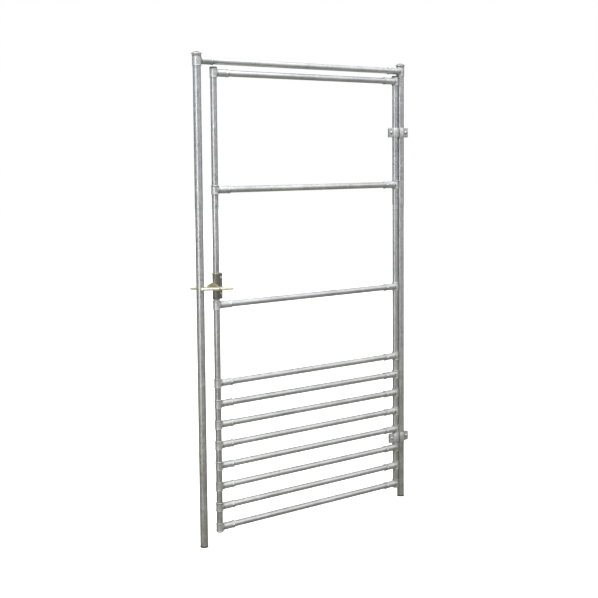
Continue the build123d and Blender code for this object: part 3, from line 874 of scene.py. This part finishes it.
def dress_latch_bar():
    """The round bar: two legs with rounded tips, and a half-circle bend for the hand."""
    shares = ((0.0, 0.0), (0.42, 0.1), (0.75, 0.35), (0.93, 0.65), (1.0, 1.0))   # of the tip's round
    leg_end = -BAR_TIP_X - BAR_TIP_ROUND
    rings = [(leg_end + out * BAR_TIP_ROUND, BAR_R - drawn_in * BAR_TIP_ROUND) for out, drawn_in in shares]
    deselect()
    bpy.ops.mesh.primitive_circle_add(
        vertices=40, radius=BAR_R, fill_type="NOTHING",
        location=(BAR_BEND_X, -BAR_LEG_Y, 0), rotation=(0, math.pi / 2, 0),
    )
    bar = named("latch_bar_round")
    bpy.ops.object.transform_apply(location=True, rotation=True, scale=True)
    edit(bar)
    bpy.ops.mesh.select_all(action="SELECT")
    bpy.ops.mesh.spin(steps=40, angle=math.pi, center=(BAR_BEND_X, 0, 0), axis=(0, 0, 1))
    for leg in (-1, 1):
        leg_y = leg * BAR_LEG_Y
        pick(bar, "VERT", lambda co: abs(co.x - BAR_BEND_X) < 1e-6 and abs(co.y - leg_y) < BAR_R + 1e-6)
        grow_rings((-1, 0, 0), -BAR_BEND_X, BAR_R, rings, centre=(0, leg_y, 0))
        bpy.ops.mesh.edge_face_add()
    tidy_mesh()
    leave_edit()
    bar_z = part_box("latch_clamp")[0][2] + BAR_RISE
    tilt = Matrix.Rotation(BAR_TILT, 4, "Y")
    bar.data.transform(Matrix.Translation((latch_stile_x, 0, bar_z)) @ tilt)
    smooth(bar, 40)
    stand_for(bar, "latch_bar", bar_zinc)


dress_latch_bar()


# ---------------------------------------------------------------- floor, light and camera
CAMERA_AT = Vector((-4.868, -4.415, 1.659))
CAMERA_YAW = 43.505              # degrees from +Y towards +X
CAMERA_DOWN = 5.937              # degrees
CAMERA_ROLL = -0.489             # degrees
CAMERA_LENS = 81.82              # millimetres, on a 36 mm sensor
GATE_MIDDLE = Vector((-0.6, 0.0, 1.05))


def stage_floor():
    """A wide pale floor, white to the eye but dull in the metal's reflections."""
    deselect()
    bpy.ops.mesh.primitive_plane_add(size=60, location=(0, 0, 0))
    floor = named("studio_floor")
    material = bpy.data.materials.new("studio_floor")
    material.use_nodes = True
    tree = material.node_tree
    shader = tree.nodes["Principled BSDF"]
    shader.inputs["Base Color"].default_value = (0.93, 0.93, 0.93, 1)
    shader.inputs["Roughness"].default_value = 0.9
    dull = tree.nodes.new("ShaderNodeBsdfDiffuse")
    dull.inputs["Color"].default_value = (0.1, 0.098, 0.064, 1)
    path = tree.nodes.new("ShaderNodeLightPath")
    mix = tree.nodes.new("ShaderNodeMixShader")
    tree.links.new(path.outputs["Is Glossy Ray"], mix.inputs["Fac"])
    tree.links.new(shader.outputs["BSDF"], mix.inputs[1])
    tree.links.new(dull.outputs["BSDF"], mix.inputs[2])
    lift = tree.nodes.new("ShaderNodeEmission")
    lift.inputs["Color"].default_value = (0.62, 0.62, 0.62, 1)
    tree.links.new(path.outputs["Is Camera Ray"], lift.inputs["Strength"])
    total = tree.nodes.new("ShaderNodeAddShader")
    tree.links.new(mix.outputs["Shader"], total.inputs[0])
    tree.links.new(lift.outputs["Emission"], total.inputs[1])
    tree.links.new(total.outputs["Shader"], tree.nodes["Material Output"].inputs["Surface"])
    floor.data.materials.append(material)


def studio_world():
    """White behind the gate; in reflections, a bright ceiling over walls that darken behind the gate."""
    world = bpy.data.worlds.new("studio")
    bpy.context.scene.world = world
    world.use_nodes = True
    tree = world.node_tree
    place = tree.nodes.new("ShaderNodeTexCoord")
    split = tree.nodes.new("ShaderNodeSeparateXYZ")
    tree.links.new(place.outputs["Generated"], split.inputs["Vector"])
    ramp = tree.nodes.new("ShaderNodeValToRGB")
    stops = [(0.0, 0.04), (0.47, 0.05), (0.5, 0.1), (0.57, 0.5), (0.68, 1.55), (1.0, 1.8)]
    elements = ramp.color_ramp.elements
    while len(elements) < len(stops):
        elements.new(0.5)
    for element, (position, grey) in zip(elements, stops):
        element.position = position
        element.color = (grey, grey, grey * 1.02, 1)
    half = tree.nodes.new("ShaderNodeMapRange")
    half.inputs["From Min"].default_value = -1
    tree.links.new(split.outputs["Z"], half.inputs["Value"])
    tree.links.new(half.outputs["Result"], ramp.inputs["Fac"])
    walls = tree.nodes["Background"]
    tree.links.new(ramp.outputs["Color"], walls.inputs["Color"])
    facing = tree.nodes.new("ShaderNodeVectorMath")
    facing.operation = "DOT_PRODUCT"
    facing.inputs[1].default_value = (CAMERA_AT - GATE_MIDDLE).to_2d().normalized().to_3d()
    tree.links.new(place.outputs["Generated"], facing.inputs[0])
    dimmer = tree.nodes.new("ShaderNodeMapRange")
    dimmer.inputs["From Min"].default_value = -0.7
    dimmer.inputs["From Max"].default_value = 0.3
    dimmer.inputs["To Min"].default_value = 0.2
    tree.links.new(facing.outputs["Value"], dimmer.inputs["Value"])
    tree.links.new(dimmer.outputs["Result"], walls.inputs["Strength"])
    white = tree.nodes.new("ShaderNodeBackground")
    white.inputs["Color"].default_value = (1, 1, 1, 1)
    path = tree.nodes.new("ShaderNodeLightPath")
    mix = tree.nodes.new("ShaderNodeMixShader")
    tree.links.new(path.outputs["Is Camera Ray"], mix.inputs["Fac"])
    tree.links.new(walls.outputs["Background"], mix.inputs[1])
    tree.links.new(white.outputs["Background"], mix.inputs[2])
    tree.links.new(mix.outputs["Shader"], tree.nodes["World Output"].inputs["Surface"])


def panel_light(name, at, target, width, height, power):
    light = bpy.data.lights.new(name, "AREA")
    light.shape = "RECTANGLE"
    light.size = width
    light.size_y = height
    light.energy = power
    lamp = bpy.data.objects.new(name, light)
    bpy.context.collection.objects.link(lamp)
    lamp.location = at
    lamp.rotation_euler = (Vector(target) - Vector(at)).to_track_quat("-Z", "Y").to_euler()


def around(degrees_left, distance, height):
    """A place round the gate, by degrees to the left of the camera."""
    out = (CAMERA_AT - GATE_MIDDLE).to_2d().normalized()
    turn = math.radians(-degrees_left)
    x = out.x * math.cos(turn) - out.y * math.sin(turn)
    y = out.x * math.sin(turn) + out.y * math.cos(turn)
    return GATE_MIDDLE + Vector((x * distance, y * distance, height - GATE_MIDDLE.z))


def studio_lights():
    panel_light("key_strip", around(27, 4.2, 1.3), GATE_MIDDLE, 0.5, 3.6, 40)
    panel_light("ceiling", (-0.6, -0.4, 4.2), (-0.6, 0, 0), 3.5, 3.5, 72)
    panel_light("side_strip", around(-75, 4.5, 1.5), GATE_MIDDLE, 0.5, 3.2, 7)


def gate_camera():
    """The camera at eye height, to the latch side of the gate."""
    yaw, pitch, roll = math.radians(CAMERA_YAW), math.radians(-CAMERA_DOWN), math.radians(CAMERA_ROLL)
    level = math.cos(pitch)
    forward = Vector((math.sin(yaw) * level, math.cos(yaw) * level, math.sin(pitch)))
    right = Vector((math.cos(yaw), -math.sin(yaw), 0))
    up = right.cross(forward)
    tilted_right = right * math.cos(roll) + up * math.sin(roll)
    tilted_up = up * math.cos(roll) - right * math.sin(roll)
    lens = bpy.data.cameras.new("camera")
    lens.lens = CAMERA_LENS
    lens.sensor_width = 36
    camera = bpy.data.objects.new("camera", lens)
    bpy.context.collection.objects.link(camera)
    turn = Matrix((tilted_right, tilted_up, -forward)).transposed().to_4x4()
    camera.matrix_world = Matrix.Translation(CAMERA_AT) @ turn
    bpy.context.scene.camera = camera


stage_floor()
studio_world()
studio_lights()
gate_camera()
bpy.context.scene.view_settings.view_transform = "Standard"
